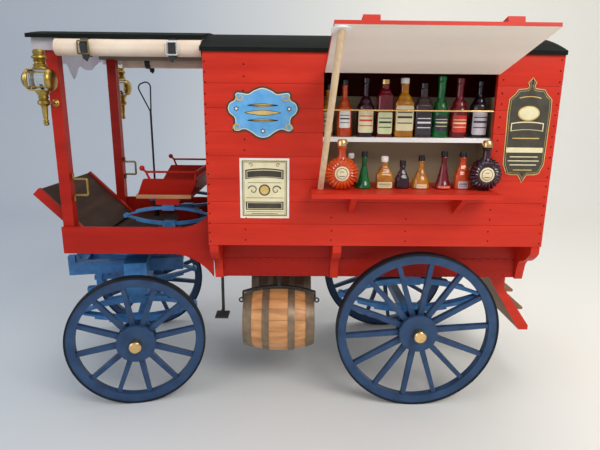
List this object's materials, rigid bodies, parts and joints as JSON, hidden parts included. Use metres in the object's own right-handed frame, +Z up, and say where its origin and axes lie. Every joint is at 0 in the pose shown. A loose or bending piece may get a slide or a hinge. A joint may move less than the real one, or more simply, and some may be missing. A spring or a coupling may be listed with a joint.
{
  "type": "medicine show wagon scale model",
  "caption": "Model of a horse-drawn show wagon with a steering fore carriage, roofed driver's seat, serving hatch with lid and bottles, rear door and steps.",
  "frame": {"origin": "on the floor under the middle of the whole model's box", "axes": "+X towards the rear door, +Y away from the serving hatch, +Z up; the driver sits at -X"},
  "size_m": [0.516, 0.308, 0.3634],
  "materials": {
    "red_paint": "painted, satin",
    "wheel_blue": "painted, satin",
    "gear_blue": "satin",
    "roof_green": "painted, satin",
    "white_paint": "painted, satin",
    "lid_cream": "painted, satin",
    "oiled_wood": "oiled",
    "barrel_wood": "oiled",
    "pale_wood": "bare",
    "brass": "polished",
    "iron": "dull",
    "tyre_iron": "satin",
    "canvas": "woven",
    "lamp_glass": "clear",
    "bottle_glass": "tinted",
    "black_leather": "satin"
  },
  "bodies": {
    "wagon_body": {"driver_floor": "oiled_wood", "lower_floor": "oiled_wood", "lower_side_left": "red_paint", "lower_side_right": "red_paint", "lower_end_panels": "red_paint", "overhang_brackets": "red_paint", "box_side_left": "red_paint", "box_side_right": "red_paint", "box_front_wall": "red_paint", "box_rear_wall": "red_paint", "roof": "roof_green", "header_rails": "white_paint", "posts": "red_paint", "toe_board": "oiled_wood", "toe_board_rails": "red_paint", "seat_board": "oiled_wood", "seat_body": "red_paint", "seat_springs": "gear_blue", "seat_blocks": "red_paint", "lamp_brass": "brass", "lamp_glass": "lamp_glass", "grab_handles": "brass", "whip": "black_leather", "curtain_rolls": "canvas", "front_valance": "canvas", "shelf": "white_paint", "shelf_back": "lid_cream", "bottle_rail": "brass", "counter": "red_paint", "lid_prop": "pale_wood", "upper_bottles": "bottle_glass", "lower_bottles": "bottle_glass", "iron_step": "iron", "barrels": "barrel_wood", "barrel_hoops": "iron", "barrel_hangers": "iron", "rear_axle": "gear_blue", "rear_springs": "gear_blue", "rear_axle_nuts": "brass", "step_stringers": "red_paint", "step_treads": "oiled_wood", "turntable_top": "gear_blue"},
    "door": {"rear_door": "red_paint", "door_fittings": "brass"},
    "lid": {"hatch_lid": "lid_cream", "lid_battens": "red_paint", "prop_socket": "white_paint"},
    "fore_carriage": {"turntable_bottom": "gear_blue", "futchells": "gear_blue", "front_axle": "gear_blue", "front_springs": "gear_blue", "front_axle_nuts": "brass"},
    "wheel_front_left_body": {"wheel_front_left": "wheel_blue", "tyre_front_left": "tyre_iron"},
    "wheel_front_right_body": {"wheel_front_right": "wheel_blue", "tyre_front_right": "tyre_iron"},
    "wheel_rear_left_body": {"wheel_rear_left": "wheel_blue", "tyre_rear_left": "tyre_iron"},
    "wheel_rear_right_body": {"wheel_rear_right": "wheel_blue", "tyre_rear_right": "tyre_iron"}
  },
  "joints": [
    {"name": "steering", "type": "hinge", "parent": "wagon_body", "child": "fore_carriage", "pos_m": [-0.17305, 0.04343, 0.134], "axis": [0, 0, 1], "range_deg": [-51.3, 28.7]},
    {"name": "lid_hinge", "type": "hinge", "parent": "wagon_body", "child": "lid", "pos_m": [0.10095, -0.05687, 0.3245], "axis": [-1, 0, 0], "range_deg": [0, 40]},
    {"name": "door_hinge", "type": "hinge", "parent": "wagon_body", "child": "door", "pos_m": [0.23315, 0.07963, 0.22], "axis": [0, 0, 1], "range_deg": [0, 105]},
    {"name": "wheel_front_left_spin", "type": "hinge", "parent": "fore_carriage", "child": "wheel_front_left_body", "pos_m": [-0.15473, -0.04826, 0.067], "axis": [-0.1959, 0.9806, 0], "continuous": true},
    {"name": "wheel_rear_left_spin", "type": "hinge", "parent": "wagon_body", "child": "wheel_rear_left_body", "pos_m": [0.12245, -0.05007, 0.08], "axis": [0, 1, 0], "continuous": true},
    {"name": "wheel_front_right_spin", "type": "hinge", "parent": "fore_carriage", "child": "wheel_front_right_body", "pos_m": [-0.19137, 0.13511, 0.067], "axis": [-0.1959, 0.9806, 0], "continuous": true},
    {"name": "wheel_rear_right_spin", "type": "hinge", "parent": "wagon_body", "child": "wheel_rear_right_body", "pos_m": [0.12245, 0.13693, 0.08], "axis": [0, 1, 0], "continuous": true}
  ]
}
